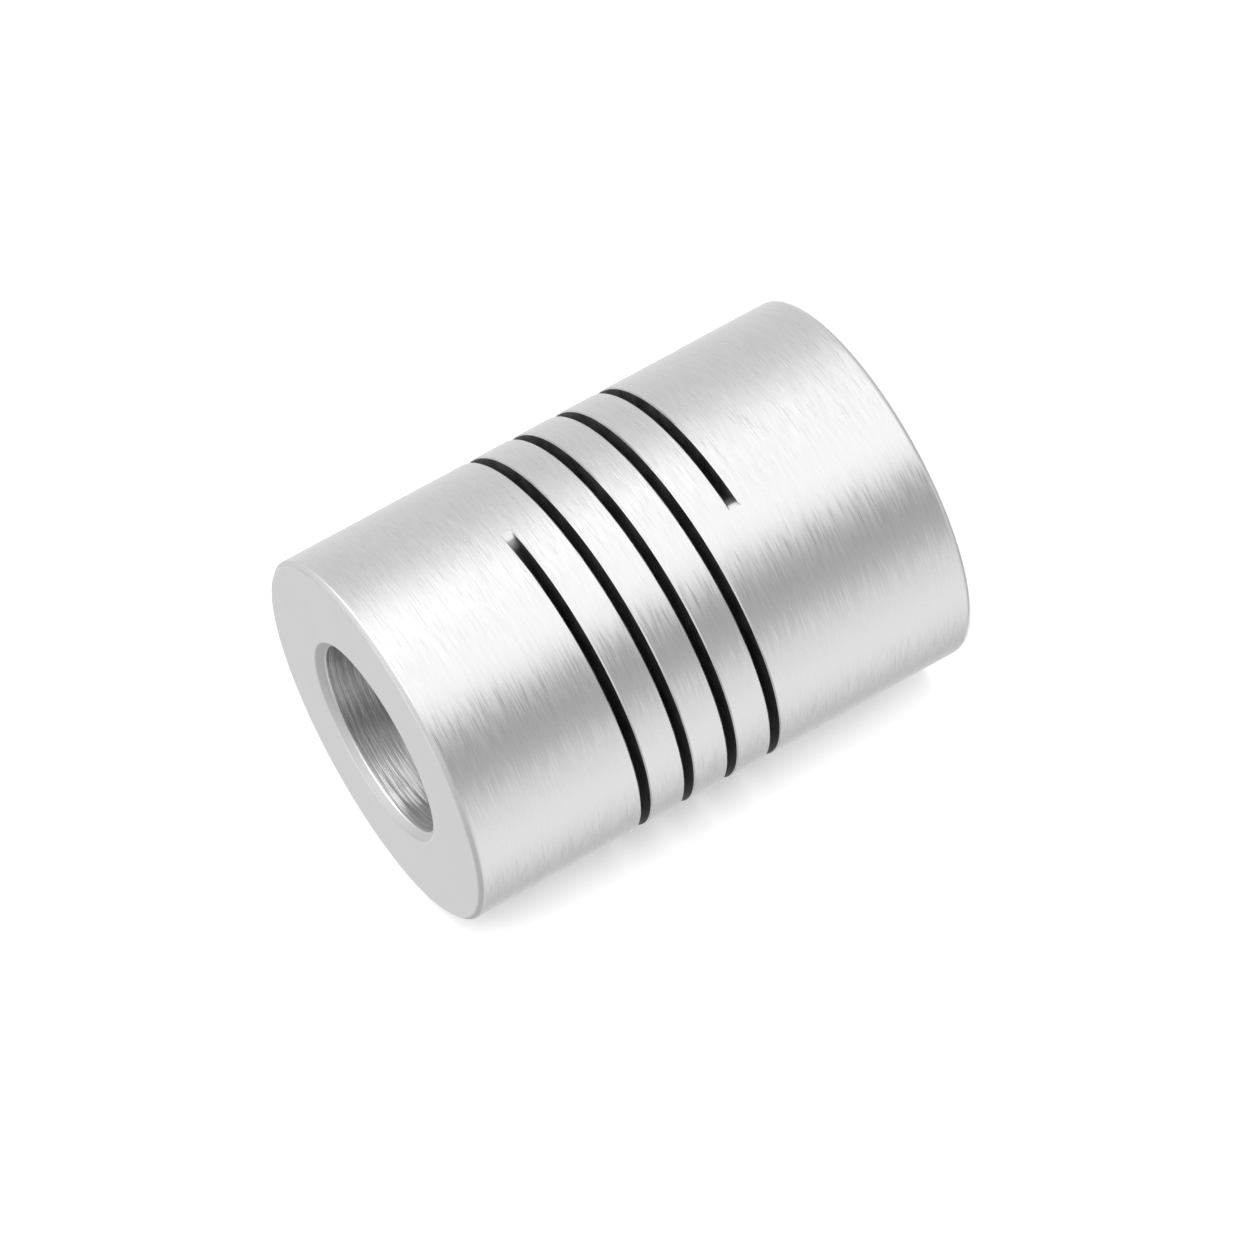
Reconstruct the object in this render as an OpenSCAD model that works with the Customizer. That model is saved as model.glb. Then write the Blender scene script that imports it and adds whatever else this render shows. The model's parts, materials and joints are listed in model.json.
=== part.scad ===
// One-piece flexible shaft coupling, with a helical slot and four set screws.
// It stands on one end: the shaft axis is +Z and the origin is the centre of the lower end.
// The upper and the lower hub clamp a shaft each, and the coils between them bend.

/* [Body] */
// Outside diameter of the body
body_d = 25; // [23:0.5:40]
// Length of the body along the shafts
body_l = 36; // [33:0.5:60]
// Diameter of the bore for the shafts
bore_d = 13; // [6:0.5:15]
// Chamfer round the outer edge of each end
edge_chamfer = 0.3; // [0.1:0.05:0.8]
// Chamfer round each mouth of the bore
bore_chamfer = 0.5; // [0.1:0.05:0.8]

/* [Helical slot] */
// Width of the slot along the axis
slot_w = 0.7; // [0.4:0.05:1.2]
// Advance of the slot along the axis in one turn
slot_pitch = 3.15; // [2:0.05:3.6]
// Turns of the slot, counted on the outside of the body
slot_turns = 4.075; // [2:0.025:4.6]
// Distance from the upper end to the middle of the slot, where it starts
slot_start = 11.1; // [9:0.1:13]
// Direction round the axis in which the slot starts, in degrees
slot_start_angle = 171; // [0:1:359]
// Radius of the slitting saw, whose rim shapes the floor at both ends of the slot
saw_r = 25; // [15:1:40]
// Depth by which the saw reaches into the bore
saw_overrun = 0.5; // [0.2:0.1:1]

/* [Set screws] */
// Thread diameter of a set screw
screw_d = 4; // [3:0.5:5]
// Width across the flats of its hexagon socket
socket_af = 2; // [1.3:0.1:2.2]
// Depth of its hexagon socket
socket_depth = 2; // [1:0.1:2.4]
// Chamfer at its outer end
head_chamfer = 0.4; // [0.1:0.05:0.5]
// Diameter of the ring on which its cup point bears
cup_d = 2; // [1.6:0.1:2.4]
// Depth of the cup in its point
cup_depth = 0.5; // [0.2:0.1:0.8]
// Depth of its outer end below the outside of the body
screw_recess = 0.5; // [0.2:0.1:0.8]
// Distance that its point stays clear of the bore
point_setback = 0.5; // [0.2:0.1:0.8]
// Radial play between the screw and its hole
screw_play = 0.05; // [0.02:0.01:0.1]
// Countersink at the mouth of its hole
hole_chamfer = 0.3; // [0.1:0.05:0.5]
// Distance from each end of the body to its two set screws
screw_inset = 5.5; // [4:0.1:7]
// Angle round the axis between the two set screws of one end
screw_spread = 90; // [60:5:120]

/* [Hidden] */
$fn = 96;
body_r = body_d / 2;
bore_r = bore_d / 2;
wall = body_r - bore_r;
upper_screw_z = body_l - screw_inset;
lower_screw_z = screw_inset;
side_angle = 0;
front_angle = side_angle - screw_spread;
screw_l = wall - screw_recess - point_setback;
screw_r = screw_d / 2 - screw_play;
socket_r = socket_af / 2 / cos(30);
// Angle of the drilled cone below the socket, measured from the screw's axis
drill_half_angle = 60;
// How far a cutting tool stands out past the face that it enters
clear = 1;
// Steps in which one turn of the slot is drawn
slot_steps_per_turn = 60;
slot_z = body_l - slot_start;
saw_depth = wall + saw_overrun;
// Length of the run-out on the outside, from full depth to nothing
runout = sqrt(pow(saw_r, 2) - pow(saw_r - saw_depth, 2));
// How far the saw's path is drawn past each end of the slot, where its rim is out of the metal
lead = 0.5;
lead_angle = lead / body_r * 180 / PI;
slot_angle = 360 * slot_turns;
slot_steps = ceil((slot_angle + 2 * lead_angle) / 360 * slot_steps_per_turn);

// Depth of the saw's rim below the outside, at a distance along the outside from the slot's end
function rim_depth(s) = s >= runout ? saw_depth
    : sqrt(pow(saw_r, 2) - pow(runout - s, 2)) - (saw_r - saw_depth);

// Radius of the slot's floor at an angle from its start
function floor_r(turned) = body_r - rim_depth(min(turned, slot_angle - turned) * PI / 180 * body_r);

// The four corners of the slot's section, from the floor's upper corner round to the outside
function slot_section(turned) =
    let (
        a = slot_start_angle - turned,
        z = slot_z - slot_pitch * turned / 360,
        inner = floor_r(turned),
        outer = body_r + clear
    )
    [for (corner = [[inner, 1], [inner, -1], [outer, -1], [outer, 1]])
        [corner[0] * cos(a), corner[0] * sin(a), z + corner[1] * slot_w / 2]];

// The slot as the saw cuts it: a rectangle swept down a right-handed helix
module helical_slot() {
    step = (slot_angle + 2 * lead_angle) / slot_steps;
    points = [for (i = [0 : slot_steps]) each slot_section(i * step - lead_angle)];
    sides = [for (i = [0 : slot_steps - 1], j = [0 : 3])
        let (a = 4 * i + j, b = 4 * i + (j + 1) % 4)
        each [[a, b + 4, b], [a, a + 4, b + 4]]];
    last = 4 * slot_steps;
    caps = [[0, 1, 2], [0, 2, 3], [last, last + 2, last + 1], [last, last + 3, last + 2]];
    polyhedron(points = points, faces = concat(sides, caps));
}

// The turned blank with its bore, and the chamfers on both ends
module turned_blank() {
    rotate_extrude()
        polygon([
            [bore_r + bore_chamfer, 0],
            [body_r - edge_chamfer, 0],
            [body_r, edge_chamfer],
            [body_r, body_l - edge_chamfer],
            [body_r - edge_chamfer, body_l],
            [bore_r + bore_chamfer, body_l],
            [bore_r, body_l - bore_chamfer],
            [bore_r, bore_chamfer]
        ]);
}

// Moves a shape that lies along +Z onto a radius of the body, at a height and an angle
module on_radius(z, angle) {
    translate([0, 0, z])
        rotate([0, 0, angle])
            rotate([0, 90, 0])
                children();
}

// A tapped hole through one wall, with its countersink
module set_screw_hole() {
    cylinder(d = screw_d, h = body_r + clear);
    translate([0, 0, body_r - hole_chamfer])
        cylinder(r1 = screw_d / 2, r2 = screw_d / 2 + hole_chamfer + clear, h = hole_chamfer + clear);
}

module coupling_body() {
    color([0.80, 0.81, 0.82])
        difference() {
            turned_blank();
            helical_slot();
            for (z = [upper_screw_z, lower_screw_z], angle = [side_angle, front_angle])
                on_radius(z, angle)
                    set_screw_hole();
        }
}

// A headless screw along +Z, its cup point down and its socket up
module set_screw(z, angle) {
    point_r = bore_r + point_setback;
    head_r = point_r + screw_l;
    cup_r = cup_d / 2;
    color([0.16, 0.16, 0.17])
        on_radius(z, angle)
            difference() {
                rotate_extrude()
                    polygon([
                        [0, point_r + cup_depth],
                        [cup_r, point_r],
                        [screw_r, point_r + screw_r - cup_r],
                        [screw_r, head_r - head_chamfer],
                        [screw_r - head_chamfer, head_r],
                        [0, head_r]
                    ]);
                translate([0, 0, head_r - socket_depth])
                    cylinder(r = socket_r, h = socket_depth + clear, $fn = 6);
                translate([0, 0, head_r - socket_depth - socket_af / 2 / tan(drill_half_angle)])
                    cylinder(r1 = 0, r2 = socket_af / 2, h = socket_af / 2 / tan(drill_half_angle));
            }
}

module upper_side_set_screw() {
    set_screw(upper_screw_z, side_angle);
}

module upper_front_set_screw() {
    set_screw(upper_screw_z, front_angle);
}

module lower_side_set_screw() {
    set_screw(lower_screw_z, side_angle);
}

module lower_front_set_screw() {
    set_screw(lower_screw_z, front_angle);
}

coupling_body();
upper_side_set_screw();
upper_front_set_screw();
lower_side_set_screw();
lower_front_set_screw();
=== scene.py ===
"""A one-piece slotted shaft coupling with its four set screws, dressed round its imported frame."""

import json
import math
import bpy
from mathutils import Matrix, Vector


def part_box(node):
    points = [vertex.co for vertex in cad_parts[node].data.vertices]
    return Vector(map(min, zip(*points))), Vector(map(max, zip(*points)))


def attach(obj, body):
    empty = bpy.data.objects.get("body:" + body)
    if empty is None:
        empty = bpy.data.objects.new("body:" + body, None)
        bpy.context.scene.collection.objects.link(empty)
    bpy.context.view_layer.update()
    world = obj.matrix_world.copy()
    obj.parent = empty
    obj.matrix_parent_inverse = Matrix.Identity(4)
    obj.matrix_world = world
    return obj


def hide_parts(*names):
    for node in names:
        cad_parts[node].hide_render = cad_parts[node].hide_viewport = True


bl_info = {
    "name": "Shaft coupling",
    "version": (1, 0, 0),
    "blender": (4, 5, 0),
    "location": "View3D > Sidebar > Coupling",
    "description": "Builds a slotted shaft coupling, its set screws and a pale studio",
    "category": "Add Mesh",
}

from types import SimpleNamespace

import bmesh
import bpy
from bpy.props import FloatProperty, FloatVectorProperty, IntProperty, PointerProperty
from mathutils import Matrix, Vector

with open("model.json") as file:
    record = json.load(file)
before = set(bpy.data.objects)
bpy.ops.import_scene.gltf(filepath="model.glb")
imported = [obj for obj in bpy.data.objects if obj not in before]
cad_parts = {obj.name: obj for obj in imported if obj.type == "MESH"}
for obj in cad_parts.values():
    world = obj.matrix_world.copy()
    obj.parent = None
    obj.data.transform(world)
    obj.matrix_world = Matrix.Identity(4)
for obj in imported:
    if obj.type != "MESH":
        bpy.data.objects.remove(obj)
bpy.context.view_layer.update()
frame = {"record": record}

MM = 0.001
BODY_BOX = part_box("coupling_body")
BORE_RADIUS = frame["record"]["mounts"][0]["dims"]["r_mm"] * MM

# The angle between two faces from which their edge counts as sharp
SHARP = math.radians(30)
# How far a cutting tool stands out past the metal, in millimetres
CLEAR = 1
# How close two points are, in millimetres, to be taken as one: on a spun shape, on a thread and after a cut
SPUN_MERGE, THREAD_MERGE, CUT_MERGE = 1e-5, 1e-4, 2e-4
# A point in the middle of an edge goes where the edge turns by less than this there
STRAIGHT = math.radians(20)

# The screws by name: the node that each stands for, its end of the body, its direction and its socket's turn
SCREWS = {
    "upper_side_threaded_screw": ("upper_side_set_screw", 1, 0, 12),
    "upper_front_threaded_screw": ("upper_front_set_screw", 1, -90, 41),
    "lower_side_threaded_screw": ("lower_side_set_screw", -1, 0, 27),
    "lower_front_threaded_screw": ("lower_front_set_screw", -1, -90, 3),
}

# Finishes of the sleeve, in the order of its material slots. Chamfers, slot walls and run-out floor carry
# painted shade
TURNED, FACED, CHAMFERED_PAINTED_SHADE, BORED, SAWN_PAINTED_SHADE, RUN_OUT_PAINTED_SHADE, TAPPED, DEBURRED, WORN = range(9)


def length(name, default, description):
    """A length property in metres, shown in the scene's own units."""
    return FloatProperty(
        name=name, description=description, default=default, unit="LENGTH", subtype="DISTANCE", precision=5
    )


def angle(name, default, description):
    """An angle property, stored in radians and shown in degrees."""
    return FloatProperty(
        name=name, description=description, default=math.radians(default), unit="ROTATION", subtype="ANGLE"
    )


class SleeveSizes(bpy.types.PropertyGroup):
    """Sizes of the slotted aluminium sleeve."""

    outer_radius: length("Outer radius", BODY_BOX[1].x, "Radius of the turned outside")
    height: length("Length", BODY_BOX[1].z, "Length along the shafts")
    bore_radius: length("Bore radius", BORE_RADIUS, "Radius of the bore for the shafts")
    edge_chamfer: length("Edge chamfer", 0.3 * MM, "Chamfer round the outer edge of each end")
    bore_chamfer: length("Bore chamfer", 0.5 * MM, "Chamfer round each mouth of the bore")
    edge_round: length("Edge round", 0.07 * MM, "Width of the worn round along each turned edge")
    slot_width: length("Slot width", 0.7 * MM, "Width of the saw cut along the axis")
    slot_pitch: length("Slot pitch", 3.15 * MM, "Advance of the slot in one turn")
    slot_start: length("Slot start", 11.1 * MM, "Distance from the upper end to the slot's start")
    slot_break: length("Slot edge break", 0.08 * MM, "Small chamfer along both edges of the slot")
    saw_radius: length("Saw radius", 25 * MM, "Radius of the slitting saw that ends the slot in an arc")
    saw_overrun: length("Saw overrun", 0.5 * MM, "Depth by which the saw reaches into the bore")
    slot_turns: FloatProperty(name="Slot turns", description="Turns of the slot", default=4.075)
    slot_angle: angle("Slot direction", 171, "Direction round the axis in which the slot starts")
    facets: IntProperty(name="Facets", description="Facets in one turn of the sleeve", default=360)


class ScrewSizes(bpy.types.PropertyGroup):
    """Sizes of a set screw and of its tapped hole."""

    thread_radius: length("Thread radius", 2 * MM, "Radius of the tapped hole at the root of its thread")
    thread_play: length("Thread play", 0.05 * MM, "Radial play between the screw's crests and the hole")
    thread_pitch: length("Thread pitch", 0.7 * MM, "Advance of the thread in one turn")
    hole_thread_depth: length("Hole thread depth", 0.38 * MM, "Depth of the thread in the hole")
    screw_thread_depth: length("Screw thread depth", 0.43 * MM, "Depth of the thread on the screw")
    recess: length("Recess", 0.5 * MM, "Depth of the screw's head below the outside")
    point_setback: length("Point setback", 0.5 * MM, "Distance of the point from the bore")
    head_chamfer: length("Head chamfer", 0.4 * MM, "Chamfer at the screw's outer end")
    cup_radius: length("Cup radius", 1 * MM, "Radius of the ring on which the cup point bears")
    cup_depth: length("Cup depth", 0.5 * MM, "Depth of the cup in the point")
    socket_flats: length("Socket flats", 2 * MM, "Width across the flats of the hexagon socket")
    socket_depth: length("Socket depth", 2 * MM, "Depth of the hexagon socket")
    hole_chamfer: length("Countersink", 0.3 * MM, "Countersink at the mouth of the hole")
    inset: length("Inset", 5.5 * MM, "Distance from the body's end to the screw's axis")
    facets: IntProperty(name="Facets", description="Facets in one turn of the thread", default=64)


class FinishColours(bpy.types.PropertyGroup):
    """Colours of the two metals."""

    aluminium: FloatVectorProperty(
        name="Aluminium", description="Colour of the bright aluminium", subtype="COLOR",
        default=(0.887, 0.882, 0.892),
    )
    black_oxide: FloatVectorProperty(
        name="Black oxide", description="Colour of the blackened steel", subtype="COLOR",
        default=(0.035, 0.035, 0.038),
    )


class StudioSizes(bpy.types.PropertyGroup):
    """The camera's place and the plain studio round the part."""

    camera_azimuth: angle("Azimuth", 225, "Direction from which the camera looks, round the part")
    camera_elevation: angle("Elevation", 15.8625, "Height of the camera above the horizon")
    camera_roll: angle("Roll", -118.694, "Turn of the camera about its own line of sight")
    camera_distance: length("Distance", 0.44524, "Distance from the camera to the point it looks at")
    camera_aim: FloatVectorProperty(
        name="Aim", description="Point that the camera looks at", subtype="XYZ", unit="LENGTH",
        default=(0.91 * MM, 0.84 * MM, 18.18 * MM),
    )
    lens: FloatProperty(name="Lens", description="Focal length in millimetres", default=205.22, unit="CAMERA")
    backdrop_angle: angle("Backdrop direction", 161.54, "Direction that the upright backdrop faces")
    backdrop_gap: length("Backdrop gap", 0.1 * MM, "Gap between the sleeve and the backdrop")
    floor_radius: length("Floor radius", 0.3, "Radius of the floor and of the backdrop")


def own_properties(group):
    """The properties that a group adds to those of every group."""
    return [prop for prop in group.bl_rna.properties if prop.identifier not in {"rna_type", "name"}]


def in_mm(group):
    """A property group's values with every length in millimetres, in which the pieces are modelled."""
    values = {}
    for prop in own_properties(group):
        value = getattr(group, prop.identifier)
        values[prop.identifier] = value / MM if prop.unit == "LENGTH" else value
    return SimpleNamespace(**values)


def unit_direction(turn, rise):
    """A direction of length 1, turned round the Z axis from +X and then raised."""
    return Vector((math.cos(turn) * math.cos(rise), math.sin(turn) * math.cos(rise), math.sin(rise)))


def spin_profile(bm, points, steps):
    """Spins a closed outline of (radius, height) points once round the Z axis."""
    verts = [bm.verts.new((radius, 0, height)) for radius, height in points]
    edges = [bm.edges.new((a, b)) for a, b in zip(verts, verts[1:] + verts[:1])]
    bmesh.ops.spin(
        bm, geom=verts + edges, cent=(0, 0, 0), axis=(0, 0, 1), dvec=(0, 0, 0),
        angle=math.tau, steps=steps, use_merge=True, use_duplicate=False,
    )
    bmesh.ops.remove_doubles(bm, verts=bm.verts, dist=SPUN_MERGE)
    bmesh.ops.delete(bm, geom=[e for e in bm.edges if e.is_wire], context="EDGES")
    bmesh.ops.recalc_face_normals(bm, faces=bm.faces)


def mesh_object(bm, name, materials=()):
    """Turns a finished bmesh into an object of that name and links it to the scene."""
    mesh = bpy.data.meshes.new(name)
    bm.to_mesh(mesh)
    bm.free()
    for material in materials:
        mesh.materials.append(material)
    piece = bpy.data.objects.new(name, mesh)
    bpy.context.scene.collection.objects.link(piece)
    return piece


def cut(piece, tool, operation="DIFFERENCE"):
    """Cuts a piece with a tool, keeps the result as its mesh and removes the tool. The cut leaves slivers and
    needless points in the middle of edges, which go too."""
    modifier = piece.modifiers.new("Cut", "BOOLEAN")
    modifier.operation = operation
    modifier.solver = "EXACT"
    modifier.object = tool
    depsgraph = bpy.context.evaluated_depsgraph_get()
    mesh = bpy.data.meshes.new_from_object(piece.evaluated_get(depsgraph), depsgraph=depsgraph)
    piece.modifiers.clear()
    old = piece.data
    piece.data = mesh
    bpy.data.meshes.remove(old)
    bpy.data.objects.remove(tool)
    if not mesh.polygons:
        raise RuntimeError(f"cutting {piece.name} left nothing of it")
    bm = bmesh.new()
    bm.from_mesh(mesh)
    bmesh.ops.remove_doubles(bm, verts=bm.verts, dist=CUT_MERGE)
    bmesh.ops.dissolve_degenerate(bm, dist=CUT_MERGE, edges=bm.edges)
    needless = [v for v in bm.verts if len(v.link_edges) == 2 and v.calc_edge_angle() < STRAIGHT]
    bmesh.ops.dissolve_verts(bm, verts=needless)
    bm.to_mesh(mesh)
    bm.free()


def finish_piece(piece, name):
    """Brings a piece from millimetres to metres and shades it smooth, apart from its sharp edges."""
    mesh = piece.data
    mesh.name = name
    mesh.transform(Matrix.Scale(MM, 4))
    mesh.shade_smooth()
    mesh.set_sharp_from_angle(angle=SHARP)
    piece.modifiers.new("Even shading", "WEIGHTED_NORMAL").keep_sharp = True


def on_radius(height, direction):
    """Turns a shape that lies along +Z onto a radius of the body, at a height and a direction in degrees."""
    return (
        Matrix.Translation((0, 0, height))
        @ Matrix.Rotation(math.radians(direction), 4, "Z")
        @ Matrix.Rotation(math.pi / 2, 4, "Y")
    )


def screw_height(sleeve, screws, end):
    """Height of the screws of one end: 1 for the upper end and -1 for the lower one."""
    return sleeve.height - screws.inset if end > 0 else screws.inset


def turned_blank(sleeve, materials):
    """The sleeve before it is slotted: turned, bored, chamfered, and worn a little along each edge."""
    bm = bmesh.new()
    outer, bore, top = sleeve.outer_radius, sleeve.bore_radius, sleeve.height
    edge, mouth = sleeve.edge_chamfer, sleeve.bore_chamfer
    spin_profile(bm, [
        (bore + mouth, 0),
        (outer - edge, 0),
        (outer, edge),
        (outer, top - edge),
        (outer - edge, top),
        (bore + mouth, top),
        (bore, top - mouth),
        (bore, mouth),
    ], sleeve.facets)
    edges = [e for e in bm.edges if e.is_manifold and e.calc_face_angle() > SHARP]
    bmesh.ops.bevel(
        bm, geom=edges, offset=sleeve.edge_round, offset_type="OFFSET",
        segments=3, profile=0.5, affect="EDGES", material=-1,
    )
    # How much a face looks up or down tells where it is: 1 on an end, less on a chamfer and 0 on a wall
    end_face, chamfer_face, wall_face, tolerance = 0.99, math.sqrt(0.5), 0.05, 0.03
    for face in bm.faces:
        flat = abs(face.normal.z)
        radius = face.calc_center_median().xy.length
        if flat > end_face:
            face.material_index = FACED
        elif abs(flat - chamfer_face) < tolerance:
            face.material_index = CHAMFERED_PAINTED_SHADE
        elif flat > wall_face:
            face.material_index = WORN
        else:
            face.material_index = TURNED if radius > (outer + bore) / 2 else BORED
    return mesh_object(bm, "slotted_sleeve", materials)


def rim_depth(sleeve, distance):
    """Depth of the saw's rim below the outside, at a distance along the outside from the slot's end."""
    full = sleeve.outer_radius - sleeve.bore_radius + sleeve.saw_overrun
    to_centre = sleeve.saw_radius - full
    runout = math.sqrt(sleeve.saw_radius**2 - to_centre**2)
    if distance >= runout:
        return full
    return math.sqrt(sleeve.saw_radius**2 - (runout - distance) ** 2) - to_centre


def saw_cut(sleeve, materials):
    """The metal that the saw takes out: its section is spun down a right-handed helix, and its floor
    rises along the saw's rim at both ends. Its sides flare at the outside, which breaks the slot's edges."""
    # Steps of the sweep past each end of the slot, and the least height of a side that still flares
    lead, low_side = 4, 0.01
    half = sleeve.slot_width / 2
    flare = sleeve.outer_radius - sleeve.slot_break
    outside = sleeve.outer_radius + CLEAR
    wide = half + outside - flare
    # The floor's corners are the first and the last. They start near the axis, and go to their depth later.
    # The corners between them are those of the two flared sides
    inner = 1
    section = [
        (inner, -half), (flare, -half), (outside, -wide), (outside, wide), (flare, half), (inner, half),
    ]
    facet = math.tau / sleeve.facets
    turned_angle = sleeve.slot_turns * math.tau
    steps = math.ceil(turned_angle / facet) + 2 * lead
    # The slot ends between two steps of the sweep
    before = (lead - 0.5) * facet
    start = sleeve.slot_angle + before
    start_height = sleeve.height - sleeve.slot_start + sleeve.slot_pitch * before / math.tau

    bm = bmesh.new()
    verts = [
        bm.verts.new((radius * math.cos(start), radius * math.sin(start), start_height + height))
        for radius, height in section
    ]
    face = bm.faces.new(verts)
    bmesh.ops.spin(
        bm, geom=verts + list(face.edges) + [face], cent=(0, 0, 0), axis=(0, 0, 1),
        dvec=(0, 0, -sleeve.slot_pitch / sleeve.facets), angle=-steps * facet, steps=steps,
        use_merge=False, use_duplicate=False,
    )
    swept = list(bm.verts)
    rings = [swept[i:i + len(section)] for i in range(0, len(swept), len(section))]
    if len(rings) != steps + 1:
        raise RuntimeError("the saw cut has lost a ring of its sweep")
    for count, ring in enumerate(rings):
        turned = count * facet - before
        distance = min(turned, turned_angle - turned) * sleeve.outer_radius
        floor = sleeve.outer_radius - rim_depth(sleeve, distance)
        lift = max(0, floor + low_side - flare)
        for vert, (radius, _) in zip(ring, section):
            wanted = floor if radius < flare else radius + lift
            vert.co.xy *= wanted / vert.co.xy.length
    bmesh.ops.recalc_face_normals(bm, faces=bm.faces)
    corners = {vert: corner for ring in rings for corner, vert in enumerate(ring)}
    for face in bm.faces:
        met = {corners[vert] for vert in face.verts}
        on_floor = met <= {0, 5}
        on_flare = met <= {1, 2} or met <= {3, 4}
        if on_floor:
            face.material_index = RUN_OUT_PAINTED_SHADE
        elif on_flare:
            face.material_index = DEBURRED
        else:
            face.material_index = SAWN_PAINTED_SHADE
    return mesh_object(bm, "saw_cut", materials)


def threaded_rod(bm, crest, root, pitch, low, high, facets):
    """A rod along +Z with a 60 degree thread: a few pitches of its profile are spun once round while they
    climb one pitch, and the ends are cut off square."""
    # The crest is an eighth of the pitch wide and the root a quarter. Places are shares of the pitch
    profile = ((crest, -1 / 16), (crest, 1 / 16), (root, 3 / 8), (root, 5 / 8))
    # Turns of the outline past each end of the rod
    spare = 2
    outline = []
    for turn in range(math.floor(low / pitch) - spare, math.ceil(high / pitch) + spare):
        for radius, share in profile:
            outline.append(bm.verts.new((radius, 0, (turn + share) * pitch)))
    edges = [bm.edges.new(pair) for pair in zip(outline, outline[1:])]
    bmesh.ops.spin(
        bm, geom=outline + edges, cent=(0, 0, 0), axis=(0, 0, 1), dvec=(0, 0, pitch / facets),
        angle=math.tau, steps=facets, use_merge=False, use_duplicate=False,
    )
    bmesh.ops.remove_doubles(bm, verts=bm.verts, dist=THREAD_MERGE)
    for height, way in ((low, -1), (high, 1)):
        bmesh.ops.bisect_plane(
            bm, geom=list(bm.verts) + list(bm.edges) + list(bm.faces), dist=SPUN_MERGE,
            plane_co=(0, 0, height), plane_no=(0, 0, way), clear_outer=True,
        )
        open_edges = [e for e in bm.edges if e.is_boundary]
        rim = [e for e in open_edges if abs(e.verts[0].co.z - height) < 10 * THREAD_MERGE]
        bmesh.ops.holes_fill(bm, edges=rim)
    bmesh.ops.recalc_face_normals(bm, faces=bm.faces)


def tapped_holes(sleeve, screws, materials):
    """The taps that thread the four holes, joined into one tool."""
    bm = bmesh.new()
    for _, end, direction, _ in SCREWS.values():
        tap = bmesh.new()
        threaded_rod(
            tap, screws.thread_radius, screws.thread_radius - screws.hole_thread_depth, screws.thread_pitch,
            sleeve.bore_radius / 2, sleeve.outer_radius + CLEAR, screws.facets,
        )
        tap.transform(on_radius(screw_height(sleeve, screws, end), direction))
        add_to(bm, tap)
    for face in bm.faces:
        face.material_index = TAPPED
    return mesh_object(bm, "taps", materials)


def countersinks(sleeve, screws, materials):
    """The cones that countersink the four holes, joined into one tool."""
    bm = bmesh.new()
    depth = screws.hole_chamfer
    for _, end, direction, _ in SCREWS.values():
        cone = bmesh.new()
        bmesh.ops.create_cone(
            cone, cap_ends=True, segments=2 * screws.facets, radius1=screws.thread_radius - depth,
            radius2=screws.thread_radius + depth + CLEAR, depth=2 * depth + CLEAR,
            matrix=Matrix.Translation((0, 0, sleeve.outer_radius + CLEAR / 2 - depth)),
        )
        cone.transform(on_radius(screw_height(sleeve, screws, end), direction))
        add_to(bm, cone)
    for face in bm.faces:
        face.material_index = TAPPED
    return mesh_object(bm, "countersinks", materials)


def add_to(bm, part):
    """Copies one bmesh into another and frees it."""
    mesh = bpy.data.meshes.new("part")
    part.to_mesh(mesh)
    part.free()
    bm.from_mesh(mesh)
    bpy.data.meshes.remove(mesh)


def screw_envelope(sleeve, screws):
    """The outline that turns a threaded rod into a set screw: a chamfered head and a cup point."""
    point = sleeve.bore_radius + screws.point_setback
    head = sleeve.outer_radius - screws.recess
    radius = screws.thread_radius - screws.thread_play
    wide = radius + CLEAR
    cup = screws.cup_radius
    chamfer = screws.head_chamfer
    bm = bmesh.new()
    spin_profile(bm, [
        (0, point + screws.cup_depth),
        (cup, point),
        (wide, point + wide - cup),
        (wide, head - chamfer - (wide - radius)),
        (radius - chamfer, head),
        (0, head),
    ], 2 * screws.facets)
    # Half a facet's turn keeps its corners off the corners of the thread
    bm.transform(Matrix.Rotation(math.pi / screws.facets / 2, 4, "Z"))
    return mesh_object(bm, "envelope")


def socket_tools(sleeve, screws, turn):
    """The tools that make the hexagon socket: the drill, the hexagon and the lead-in at its mouth."""
    head = sleeve.outer_radius - screws.recess
    floor = head - screws.socket_depth
    corner = screws.socket_flats / math.sqrt(3)
    # The drill is a little narrower than the hexagon's flats
    drill = 0.95 * screws.socket_flats / 2
    lead, reach = 0.12, 0.5
    drilled = [(0, floor - drill / math.sqrt(3)), (drill, floor), (drill, floor + reach), (0, floor + reach)]
    hexagon = [(0, floor), (corner, floor), (corner, head + CLEAR), (0, head + CLEAR)]
    lead_in = [
        (0, head - lead), (corner - lead, head - lead), (corner + reach, head + reach), (0, head + reach),
    ]
    outlines = [(screws.facets, drilled), (6, hexagon), (screws.facets, lead_in)]
    tools = []
    for facets, outline in outlines:
        bm = bmesh.new()
        spin_profile(bm, outline, facets)
        bm.transform(Matrix.Rotation(math.radians(turn), 4, "Z"))
        tools.append(mesh_object(bm, "socket"))
    return tools


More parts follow.
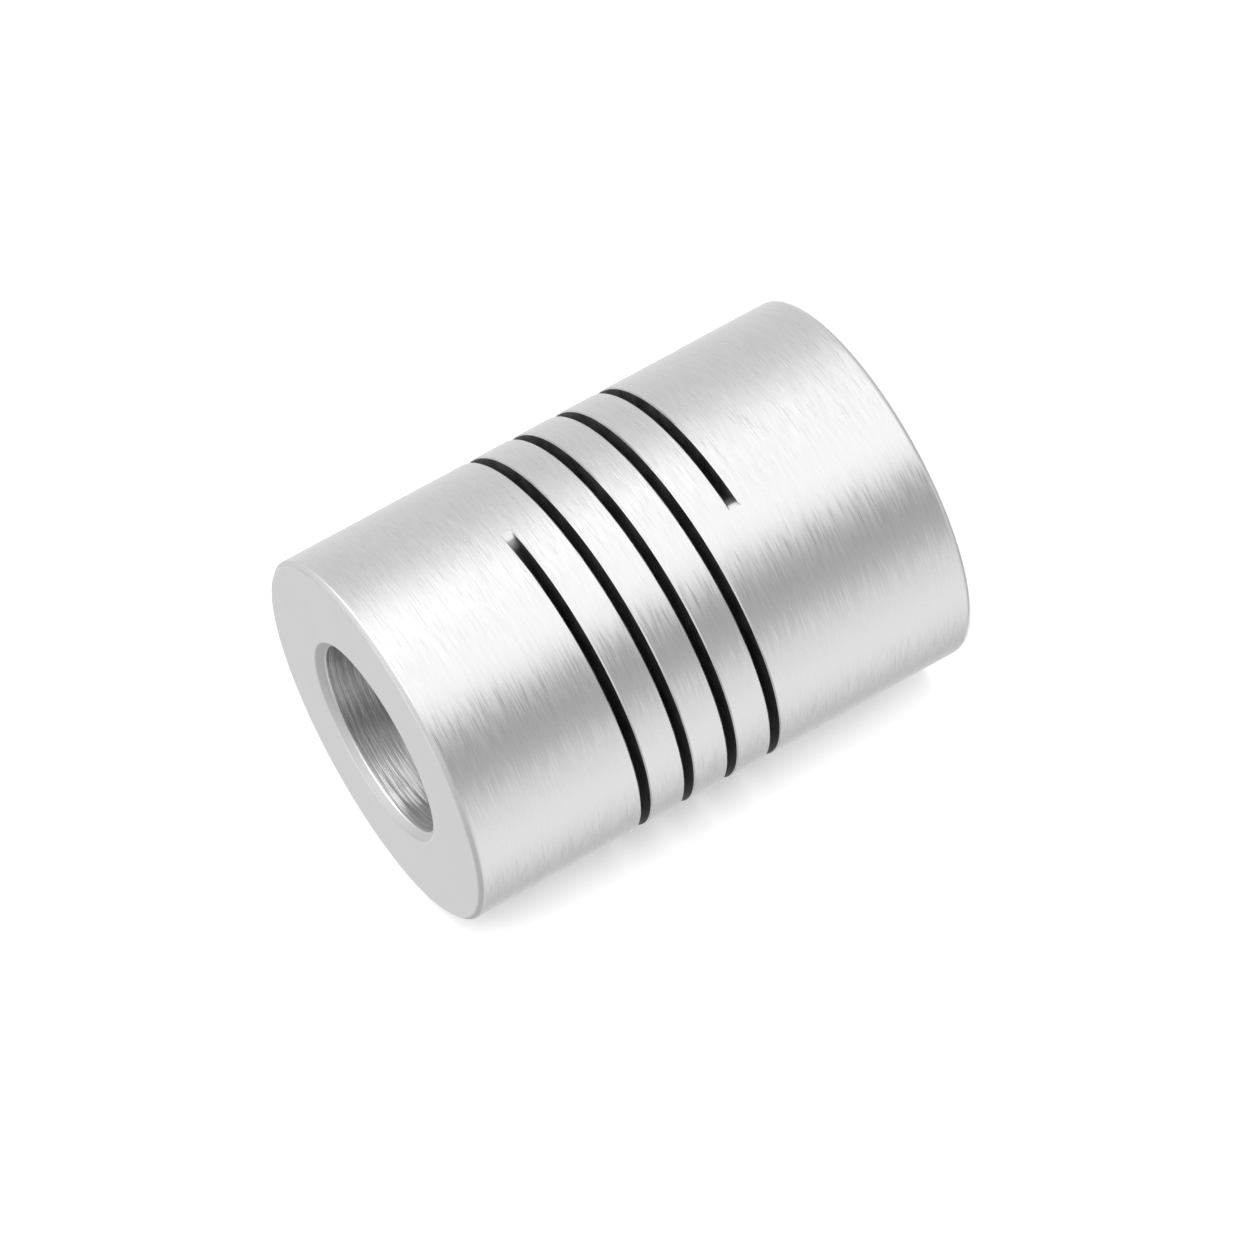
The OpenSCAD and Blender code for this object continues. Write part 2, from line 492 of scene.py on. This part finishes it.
class Nodes:
    """A node tree, with short calls that add and link its nodes."""

    def __init__(self, tree):
        self.nodes = tree.nodes
        self.links = tree.links

    def add(self, kind, values=None, **settings):
        """Adds a node. Values are for its inputs, as numbers or as another node's outputs."""
        node = self.nodes.new(kind)
        for key, value in settings.items():
            setattr(node, key, value)
        for key, value in (values or {}).items():
            self.put(node, key, value)
        return node

    def put(self, node, key, value):
        """Sets an input, or links it to another node's output."""
        if isinstance(value, bpy.types.NodeSocket):
            self.links.new(value, node.inputs[key])
        else:
            node.inputs[key].default_value = value

    def math(self, operation, *values):
        """A Math node's result."""
        return self.add("ShaderNodeMath", dict(enumerate(values)), operation=operation).outputs[0]

    def vector(self, operation, *values, scale=None):
        """A Vector Math node's result, which is a number for a length and for a dot product."""
        inputs = dict(enumerate(values))
        if scale is not None:
            inputs["Scale"] = scale
        outputs = self.add("ShaderNodeVectorMath", inputs, operation=operation).outputs
        return outputs["Value" if operation in {"LENGTH", "DOT_PRODUCT"} else "Vector"]

    def tilted(self, normal, tilt):
        """A normal that a vector tilts."""
        return self.vector("NORMALIZE", self.vector("ADD", normal, tilt))

    def spread(self, value, low, high, from_low=0.3, from_high=0.7):
        """A value from one range, by default that of most noise, brought to another and held at its ends."""
        return self.add("ShaderNodeMapRange", {
            "Value": value, "From Min": from_low, "From Max": from_high, "To Min": low, "To Max": high,
        }).outputs[0]


class Shader(Nodes):
    """A material's node tree."""

    def __init__(self, name):
        self.material = bpy.data.materials.new(name)
        self.material.use_nodes = True
        super().__init__(self.material.node_tree)
        self.surface = self.nodes["Principled BSDF"]
        self.output = self.nodes["Material Output"]

    def place(self):
        """The point on the piece, in metres."""
        return self.add("ShaderNodeTexCoord").outputs["Object"]

    def grain(self, scale, detail):
        """Noise stretched by a scale for each axis, from 0 to 1."""
        stretched = self.add("ShaderNodeMapping", {"Vector": self.place(), "Scale": scale}).outputs[0]
        noise = self.add("ShaderNodeTexNoise", {"Vector": stretched, "Scale": 1.0, "Detail": detail})
        return noise.outputs["Fac"]

    def tint(self, value, dark, light):
        """A colour between two, by a value from 0 to 1."""
        mix = self.add("ShaderNodeMix", {"Factor": value}, data_type="RGBA")
        # The Mix node has sockets of the same name for each kind of data, and these are its colours
        self.put(mix, 6, (*dark, 1.0))
        self.put(mix, 7, (*light, 1.0))
        return mix.outputs[2]

    def bump(self, height, distance, below=None):
        """A normal that a height tilts, the height in units of a distance in metres."""
        values = {"Height": height, "Distance": distance, "Strength": 1.0}
        if below is not None:
            values["Normal"] = below
        return self.add("ShaderNodeBump", values).outputs[0]

    def surface_of(self, **values):
        """Sets the inputs of the surface's shader, by their names with underscores for spaces."""
        for key, value in values.items():
            self.put(self.surface, key.replace("_", " "), value)
        return self.material


def scaled(colour, share):
    """A colour made darker or lighter by one share."""
    return tuple(channel * share for channel in colour)


def aluminium(name, colour, dark, grains, rough, relief, anisotropic=0.0, waver=0.0, scratches=0.0):
    """Bare aluminium with tool marks. Each of the grains is a scale for each axis, a detail and a share, and
    together they set the tone, the roughness and the relief. Waver is how far the first of them turns the
    reflection round the axis, and scratches how much further its peaks do."""
    s = Shader(name)
    noises = [s.grain(scale, detail) for scale, detail, _ in grains]
    marks = s.math("MULTIPLY", noises[0], grains[0][2])
    for noise, (_, _, share) in zip(noises[1:], grains[1:]):
        marks = s.math("ADD", marks, s.math("MULTIPLY", noise, share))
    round_axis = s.add("ShaderNodeTangent", direction_type="RADIAL", axis="Z").outputs[0]
    normal = s.add("ShaderNodeNewGeometry").outputs["Normal"]
    if waver:
        turn = s.math("MULTIPLY", s.math("SUBTRACT", noises[0], 0.5), waver)
        if scratches:
            peaks = s.spread(noises[0], 0, scratches, from_low=0.62, from_high=0.74)
            turn = s.math("ADD", turn, peaks)
        normal = s.tilted(normal, s.vector("SCALE", round_axis, scale=turn))
    s.surface_of(
        Base_Color=s.tint(s.spread(marks, 0, 1), scaled(colour, dark), colour),
        Metallic=1.0, Roughness=s.spread(marks, *rough), Normal=s.bump(marks, relief, below=normal),
    )
    if anisotropic:
        s.surface_of(Anisotropic=anisotropic, Anisotropic_Rotation=0.25, Tangent=round_axis)
    return s.material


def turned_aluminium(colour):
    """The outside: turned and then brushed round the axis, in short fine lines."""
    return aluminium(
        "turned_aluminium", colour, dark=0.93,
        grains=[((550, 550, 13000), 2, 0.5), ((600, 600, 20000), 1, 0.5)],
        rough=(0.22, 0.42), relief=0.015 * MM, anisotropic=0.55, waver=0.27, scratches=-0.08,
    )


def faced_aluminium(colour):
    """The ends: faced on the lathe to a fine matt, a little clouded."""
    return aluminium(
        "faced_aluminium", scaled(colour, 0.935), dark=0.91,
        grains=[((160, 160, 160), 3, 0.7), ((2500, 2500, 2500), 2, 0.3)],
        rough=(0.38, 0.5), relief=0.002 * MM,
    )


def chamfered_aluminium_painted_shade(colour):
    """The chamfers of the ends and of the bore: turned last, matt, and painted darker as painted shade."""
    return aluminium(
        # The darker colour is painted shade, which dims the chamfers' highlight
        "chamfered_aluminium_painted_shade", scaled(colour, 0.78), dark=0.95, grains=[((200, 200, 9000), 2, 1.0)],
        rough=(0.66, 0.78), relief=0.003 * MM,
    )


def worn_aluminium(colour):
    """The turned edges of the ends and of the bore: worn round, and brighter than the chamfers."""
    return aluminium(
        "worn_aluminium", scaled(colour, 0.96), dark=0.97, grains=[((600, 600, 600), 3, 1.0)],
        rough=(0.42, 0.5), relief=0.001 * MM,
    )


def bored_aluminium(colour):
    """The bore: the boring bar's coarse lines run round it, uneven and bright."""
    return aluminium(
        "bored_aluminium", colour, dark=0.48,
        grains=[((200, 200, 5500), 3, 0.6), ((400, 400, 15000), 2, 0.4)],
        rough=(0.28, 0.46), relief=0.055 * MM, anisotropic=0.93, waver=0.6,
    )


def sawn_aluminium_painted_shade(colour):
    """The slot's walls: dull from the saw, and painted dark as painted shade deep in the narrow slot."""
    return aluminium(
        # The slot's walls are painted dark, as painted shade in the slot
        "sawn_aluminium_painted_shade", scaled(colour, 0.26), dark=0.6, grains=[((900, 900, 900), 3, 1.0)],
        rough=(0.5, 0.65), relief=0.01 * MM,
    )


def deburred_aluminium(colour):
    """The broken edges of the slot: burnished bright."""
    return aluminium(
        "deburred_aluminium", colour, dark=0.8, grains=[((600, 600, 600), 3, 1.0)],
        rough=(0.2, 0.34), relief=0.003 * MM,
    )


def run_out_aluminium_painted_shade(colour, outer_radius):
    """The slot's floor where the saw runs out: worn flush at the outside, where it keeps the metal's colour,
    and deeper in painted darker as painted shade, soon as dark as the walls."""
    # Depths below the outside at which the painted shade is full, at which it ends, and at which wear starts
    dark, bright, wear = 0.9 * MM, 0.25 * MM, 0.4 * MM
    # How far the wear leans the surface outwards at the outside
    full_lean = 4
    s = Shader("run_out_aluminium_painted_shade")
    flat = s.vector("MULTIPLY", s.place(), (1, 1, 0))
    radius = s.vector("LENGTH", flat)
    unshaded_share = s.spread(radius, 0, 1, outer_radius - dark, outer_radius - bright)
    worn = s.spread(radius, 0, full_lean, outer_radius - wear, outer_radius)
    outwards = s.vector("SCALE", flat, scale=s.math("DIVIDE", worn, radius))
    return s.surface_of(
        # Painted shade: the colour darkens from the metal's own to a tenth of it with depth below the outside
        Base_Color=s.tint(unshaded_share, scaled(colour, 0.1), colour), Metallic=1.0,
        Roughness=s.spread(s.grain((900, 900, 900), 3), 0.3, 0.45),
        Normal=s.tilted(s.add("ShaderNodeNewGeometry").outputs["Normal"], outwards),
    )


def tapped_aluminium(colour):
    """The tapped holes: cut metal with faint chatter."""
    return aluminium(
        "tapped_aluminium", colour, dark=0.85, grains=[((2500, 2500, 2500), 2, 1.0)],
        rough=(0.28, 0.42), relief=0.004 * MM,
    )


def black_oxide_steel(colour):
    """The set screws: black oxide, satin, a little uneven."""
    s = Shader("black_oxide_steel")
    cloud = s.grain((1400, 1400, 1400), detail=4)
    pores = s.grain((9000, 9000, 9000), detail=2)
    return s.surface_of(
        Base_Color=s.tint(s.spread(cloud, 0, 1), scaled(colour, 0.7), scaled(colour, 1.7)),
        Metallic=0.8, Roughness=s.spread(cloud, 0.3, 0.48), Normal=s.bump(pores, 0.004 * MM),
    )


def pale_stage(name, grey, glow, see_through_back):
    """A pale surface that takes the part's shadow. To the camera it also glows, which lifts it to white
    where nothing shades it."""
    s = Shader(name)
    s.surface_of(Base_Color=(grey, grey, grey, 1.0), Roughness=1.0, Specular_IOR_Level=0.0)
    seen = s.add("ShaderNodeLightPath").outputs["Is Camera Ray"]
    light = s.add("ShaderNodeEmission", {"Strength": s.math("MULTIPLY", seen, glow)})
    both = s.add("ShaderNodeAddShader", {0: s.surface.outputs[0], 1: light.outputs[0]})
    if see_through_back:
        back = s.add("ShaderNodeNewGeometry").outputs["Backfacing"]
        clear = s.add("ShaderNodeBsdfTransparent")
        both = s.add("ShaderNodeMixShader", {0: back, 1: both.outputs[0], 2: clear.outputs[0]})
    s.put(s.output, "Surface", both.outputs[0])
    return s.material


class COUPLING_OT_sleeve(bpy.types.Operator):
    """Build the slotted aluminium sleeve"""

    bl_idname = "coupling.sleeve"
    bl_label = "Slotted sleeve"

    def execute(self, context):
        sleeve = in_mm(context.scene.coupling_sleeve)
        screws = in_mm(context.scene.coupling_screws)
        colour = tuple(context.scene.coupling_colours.aluminium)
        # In the order of the finishes at the top
        materials = [
            turned_aluminium(colour), faced_aluminium(colour), chamfered_aluminium_painted_shade(colour),
            bored_aluminium(colour), sawn_aluminium_painted_shade(colour),
            run_out_aluminium_painted_shade(colour, sleeve.outer_radius * MM), tapped_aluminium(colour),
            deburred_aluminium(colour), worn_aluminium(colour),
        ]
        piece = turned_blank(sleeve, materials)
        cut(piece, saw_cut(sleeve, materials))
        cut(piece, tapped_holes(sleeve, screws, materials))
        cut(piece, countersinks(sleeve, screws, materials))
        finish_piece(piece, "slotted_sleeve")
        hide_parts("coupling_body")
        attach(piece, "root")
        return {"FINISHED"}


class COUPLING_OT_screws(bpy.types.Operator):
    """Build the four threaded set screws"""

    bl_idname = "coupling.screws"
    bl_label = "Set screws"

    def execute(self, context):
        sleeve = in_mm(context.scene.coupling_sleeve)
        screws = in_mm(context.scene.coupling_screws)
        steel = black_oxide_steel(tuple(context.scene.coupling_colours.black_oxide))
        radius = screws.thread_radius - screws.thread_play
        for name, (node, end, direction, turn) in SCREWS.items():
            bm = bmesh.new()
            threaded_rod(
                bm, radius, radius - screws.screw_thread_depth, screws.thread_pitch,
                sleeve.bore_radius, sleeve.outer_radius, screws.facets,
            )
            piece = mesh_object(bm, name, [steel])
            cut(piece, screw_envelope(sleeve, screws), "INTERSECT")
            for tool in socket_tools(sleeve, screws, turn):
                cut(piece, tool)
            piece.data.transform(on_radius(screw_height(sleeve, screws, end), direction))
            finish_piece(piece, name)
            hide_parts(node)
            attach(piece, "root")
        return {"FINISHED"}


# Brightness of the studio's walls, by degrees round the part from the backdrop's own direction
WALLS = [
    (-180, 0.50), (-158, 0.60), (-138, 0.92), (-110, 0.88), (-88, 0.74), (-76, 0.44), (-56, 0.36),
    (-42, 0.47), (-31, 1.10), (-12, 1.15), (8, 0.92), (30, 0.75), (50, 0.69), (70, 0.63), (92, 0.65),
    (125, 0.74), (145, 0.94), (165, 0.87), (180, 0.50),
]
# The heights between which the walls turn into the ceiling, as shares of a direction, and its share of light
CEILING_START, CEILING_END, CEILING_SHARE = 0.35, 0.8, 0.52
# The softboxes: their direction from the part, the nearnesses to it at which their edge starts and ends, and
# their strength. The first stands over the backdrop's side and shines into the bore. The second is overhead
# and lights the edges of the slot and of the ends
SOFTBOXES = [
    (unit_direction(0.52, 0.5), 0.8, 0.93, 2.2),
    (unit_direction(0, math.pi / 2), 0.82, 0.94, 0.8),
]
WHITE = (1.0, 1.0, 1.0, 1.0)


def studio_world(backdrop_angle):
    """White to the camera. Everything else sees a soft studio: grey walls, whose brightness goes by the
    direction round the part, a dimmer ceiling and softboxes."""
    world = bpy.data.worlds.new("studio")
    bpy.context.scene.world = world
    world.use_nodes = True
    world.node_tree.nodes.clear()
    nodes = Nodes(world.node_tree)

    looking = nodes.add("ShaderNodeTexCoord").outputs["Generated"]
    turned = nodes.add(
        "ShaderNodeMapping", {"Vector": looking, "Rotation": (0, 0, -backdrop_angle)}, vector_type="VECTOR",
    ).outputs[0]
    axes = nodes.add("ShaderNodeSeparateXYZ", {0: turned}).outputs
    round_part = nodes.math("ARCTAN2", axes["Y"], axes["X"])
    ramp = nodes.add("ShaderNodeValToRGB", {"Fac": nodes.spread(round_part, 0, 1, -math.pi, math.pi)})
    ramp.color_ramp.interpolation = "B_SPLINE"
    brightest = max(level for _, level in WALLS)
    while len(ramp.color_ramp.elements) < len(WALLS):
        ramp.color_ramp.elements.new(0.5)
    for element, (degrees, level) in zip(ramp.color_ramp.elements, WALLS):
        element.position = degrees / 360 + 0.5
        element.color = (level / brightest,) * 3 + (1.0,)
    dimming = nodes.spread(axes["Z"], brightest, CEILING_SHARE * brightest, CEILING_START, CEILING_END)
    studio = nodes.add("ShaderNodeBackground", {"Color": ramp.outputs["Color"], "Strength": dimming})
    for towards, edge_start, edge_end, strength in SOFTBOXES:
        nearness = nodes.vector("DOT_PRODUCT", turned, towards)
        glow = nodes.spread(nearness, 0, strength, edge_start, edge_end)
        softbox = nodes.add("ShaderNodeBackground", {"Color": WHITE, "Strength": glow})
        studio = nodes.add("ShaderNodeAddShader", {0: studio.outputs[0], 1: softbox.outputs[0]})
    white = nodes.add("ShaderNodeBackground", {"Color": WHITE, "Strength": 1.0})
    seen = nodes.add("ShaderNodeLightPath").outputs["Is Camera Ray"]
    mix = nodes.add("ShaderNodeMixShader", {0: seen, 1: studio.outputs[0], 2: white.outputs[0]})
    nodes.add("ShaderNodeOutputWorld", {"Surface": mix.outputs[0]})


def area_lamp(name, towards, distance, size, power, receiver):
    """A soft square lamp that looks at the part from a direction. It shows in no reflection, and lights its
    receiver alone."""
    lamp = bpy.data.lights.new(name, "AREA")
    lamp.shape = "SQUARE"
    lamp.size = size
    lamp.energy = power
    holder = bpy.data.objects.new(name, lamp)
    bpy.context.scene.collection.objects.link(holder)
    holder.location = towards.normalized() * distance
    holder.rotation_mode = "QUATERNION"
    holder.rotation_quaternion = towards.to_track_quat("Z", "Y")
    holder.visible_camera = False
    holder.visible_glossy = False
    group = bpy.data.collections.new(name + "_receiver")
    group.objects.link(receiver)
    holder.light_linking.receiver_collection = group


def disc(name, radius, matrix, material):
    """A flat disc with its face up, placed by a matrix, that only the camera sees."""
    bm = bmesh.new()
    bmesh.ops.create_circle(bm, cap_ends=True, segments=128, radius=radius)
    bm.transform(matrix)
    piece = mesh_object(bm, name, [material])
    piece.visible_diffuse = False
    piece.visible_glossy = False
    piece.visible_transmission = False
    piece.visible_shadow = False
    return piece


class COUPLING_OT_studio(bpy.types.Operator):
    """Set up the floor, the backdrop, the lamps, the world and the camera"""

    bl_idname = "coupling.studio"
    bl_label = "Studio"

    def execute(self, context):
        scene = context.scene
        studio = scene.coupling_studio
        scene.view_settings.view_transform = "Standard"

        facing = Matrix.Rotation(studio.backdrop_angle, 4, "Z") @ Matrix.Rotation(math.pi / 2, 4, "Y")
        away = scene.coupling_sleeve.outer_radius + studio.backdrop_gap
        floor = disc(
            "floor", studio.floor_radius, Matrix(),
            pale_stage("pale_floor", grey=0.5, glow=0.5, see_through_back=False),
        )
        backdrop = disc(
            "backdrop", studio.floor_radius, facing @ Matrix.Translation((0, 0, -away)),
            pale_stage("pale_backdrop", grey=0.9, glow=0.2, see_through_back=True),
        )
        studio_world(studio.backdrop_angle)

        # The camera's azimuth is counted from the front, which is -Y
        camera_turn = studio.camera_azimuth - math.pi / 2
        up = Vector((0, 0, 1))
        normal = facing.to_3x3() @ up
        along = up.cross(normal)
        # The backdrop's lamp stands a little aside and a little high, which moves the shadow the other way
        area_lamp(
            "backdrop_lamp", normal - 0.25 * along + 0.12 * up,
            distance=0.6, size=0.26, power=2.2, receiver=backdrop,
        )
        area_lamp(
            "floor_lamp", up + 1.2 * unit_direction(camera_turn, 0),
            distance=0.6, size=0.25, power=5.0, receiver=floor,
        )

        camera = bpy.data.cameras.new("camera")
        camera.lens = studio.lens
        camera.sensor_width = 36
        camera.clip_start = 0.01
        camera.clip_end = 20
        holder = bpy.data.objects.new("camera", camera)
        scene.collection.objects.link(holder)
        back = unit_direction(camera_turn, studio.camera_elevation)
        upright = back.to_track_quat("Z", "Y").to_matrix()
        holder.location = Vector(studio.camera_aim) + back * studio.camera_distance
        holder.rotation_mode = "QUATERNION"
        holder.rotation_quaternion = (upright @ Matrix.Rotation(studio.camera_roll, 3, "Z")).to_quaternion()
        scene.camera = holder
        return {"FINISHED"}


class COUPLING_PT_panel(bpy.types.Panel):
    """Lists the sizes and the steps that build the coupling"""

    bl_idname = "COUPLING_PT_panel"
    bl_label = "Shaft coupling"
    bl_space_type = "VIEW_3D"
    bl_region_type = "UI"
    bl_category = "Coupling"

    def draw(self, context):
        layout = self.layout
        scene = context.scene
        for title, group in (
            ("Sleeve", scene.coupling_sleeve), ("Set screws", scene.coupling_screws),
            ("Finishes", scene.coupling_colours), ("Studio", scene.coupling_studio),
        ):
            box = layout.box()
            box.label(text=title)
            for prop in own_properties(group):
                box.prop(group, prop.identifier)
        for operator in (COUPLING_OT_sleeve, COUPLING_OT_screws, COUPLING_OT_studio):
            layout.operator(operator.bl_idname)


CLASSES = (
    SleeveSizes, ScrewSizes, FinishColours, StudioSizes,
    COUPLING_OT_sleeve, COUPLING_OT_screws, COUPLING_OT_studio, COUPLING_PT_panel,
)
GROUPS = {
    "coupling_sleeve": SleeveSizes,
    "coupling_screws": ScrewSizes,
    "coupling_colours": FinishColours,
    "coupling_studio": StudioSizes,
}


def register():
    for cls in CLASSES:
        bpy.utils.register_class(cls)
    for name, cls in GROUPS.items():
        setattr(bpy.types.Scene, name, PointerProperty(type=cls))


def unregister():
    for name in GROUPS:
        delattr(bpy.types.Scene, name)
    for cls in reversed(CLASSES):
        bpy.utils.unregister_class(cls)


def main():
    register()
    bpy.ops.coupling.sleeve()
    bpy.ops.coupling.screws()
    bpy.ops.coupling.studio()


if __name__ == "__main__":
    main()
